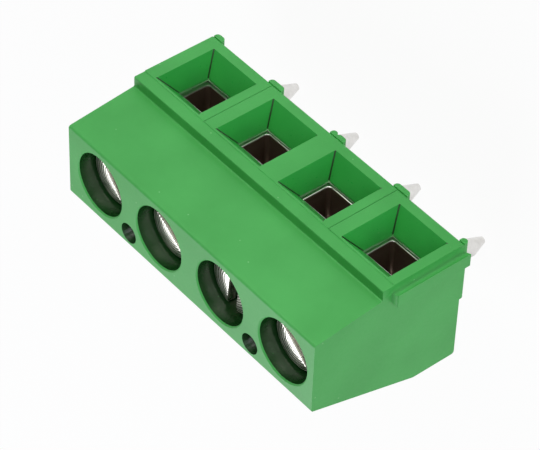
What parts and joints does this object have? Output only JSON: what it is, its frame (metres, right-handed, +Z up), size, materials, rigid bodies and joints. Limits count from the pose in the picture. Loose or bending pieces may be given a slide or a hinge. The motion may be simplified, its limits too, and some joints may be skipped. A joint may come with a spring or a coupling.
{
  "type": "pcb screw terminal",
  "caption": "Rising-clamp screw terminal block for a circuit board, with tapered wire entries, slotted screws from above, round solder pins, and a dovetail rail for joining blocks.",
  "frame": {"origin": "middle of the row of solder pins, in the plane of the board's top face", "axes": "+X along the row from the rail end to the groove end, +Y from the wire side to the back, +Z up from the board to the screw side"},
  "size_m": [0.0208, 0.0081, 0.0136],
  "materials": {
    "housing": "satin moulded polyamide",
    "screw": "bright zinc-plated steel with turning marks",
    "cage": "nickel-plated brass",
    "contact": "tin-plated brass"
  },
  "bodies": {
    "block": {"housing_1": "housing", "housing_2": "housing", "solder_contact_1": "contact", "solder_contact_2": "contact", "solder_contact_3": "contact", "solder_contact_4": "contact"},
    "screw_1": {"clamp_screw_1": "screw"},
    "cage_1": {"clamp_cage_1": "cage"},
    "screw_2": {"clamp_screw_2": "screw"},
    "cage_2": {"clamp_cage_2": "cage"},
    "screw_3": {"clamp_screw_3": "screw"},
    "cage_3": {"clamp_cage_3": "cage"},
    "screw_4": {"clamp_screw_4": "screw"},
    "cage_4": {"clamp_cage_4": "cage"}
  },
  "joints": [
    {"name": "screw_turn_1", "type": "hinge", "parent": "block", "child": "screw_1", "pos_m": [-0.00762, -0.00034, 0], "axis": [0, 0, 1], "range_deg": [-1360, 0]},
    {"name": "cage_lift_1", "type": "slide", "parent": "block", "child": "cage_1", "axis": [0, 0, 1], "range_m": [0, 0.0017]},
    {"name": "screw_turn_2", "type": "hinge", "parent": "block", "child": "screw_2", "pos_m": [-0.00254, -0.00034, 0], "axis": [0, 0, 1], "range_deg": [-1360, 0]},
    {"name": "cage_lift_2", "type": "slide", "parent": "block", "child": "cage_2", "axis": [0, 0, 1], "range_m": [0, 0.0017]},
    {"name": "screw_turn_3", "type": "hinge", "parent": "block", "child": "screw_3", "pos_m": [0.00254, -0.00034, 0], "axis": [0, 0, 1], "range_deg": [-1360, 0]},
    {"name": "cage_lift_3", "type": "slide", "parent": "block", "child": "cage_3", "axis": [0, 0, 1], "range_m": [0, 0.0017]},
    {"name": "screw_turn_4", "type": "hinge", "parent": "block", "child": "screw_4", "pos_m": [0.00762, -0.00034, 0], "axis": [0, 0, 1], "range_deg": [-1360, 0]},
    {"name": "cage_lift_4", "type": "slide", "parent": "block", "child": "cage_4", "axis": [0, 0, 1], "range_m": [0, 0.0017]}
  ],
  "couplings": [
    {"joint": "screw_turn_1", "follows": "cage_lift_1", "rad_per_m": -13963},
    {"joint": "screw_turn_2", "follows": "cage_lift_2", "rad_per_m": -13963},
    {"joint": "screw_turn_3", "follows": "cage_lift_3", "rad_per_m": -13963},
    {"joint": "screw_turn_4", "follows": "cage_lift_4", "rad_per_m": -13963}
  ]
}
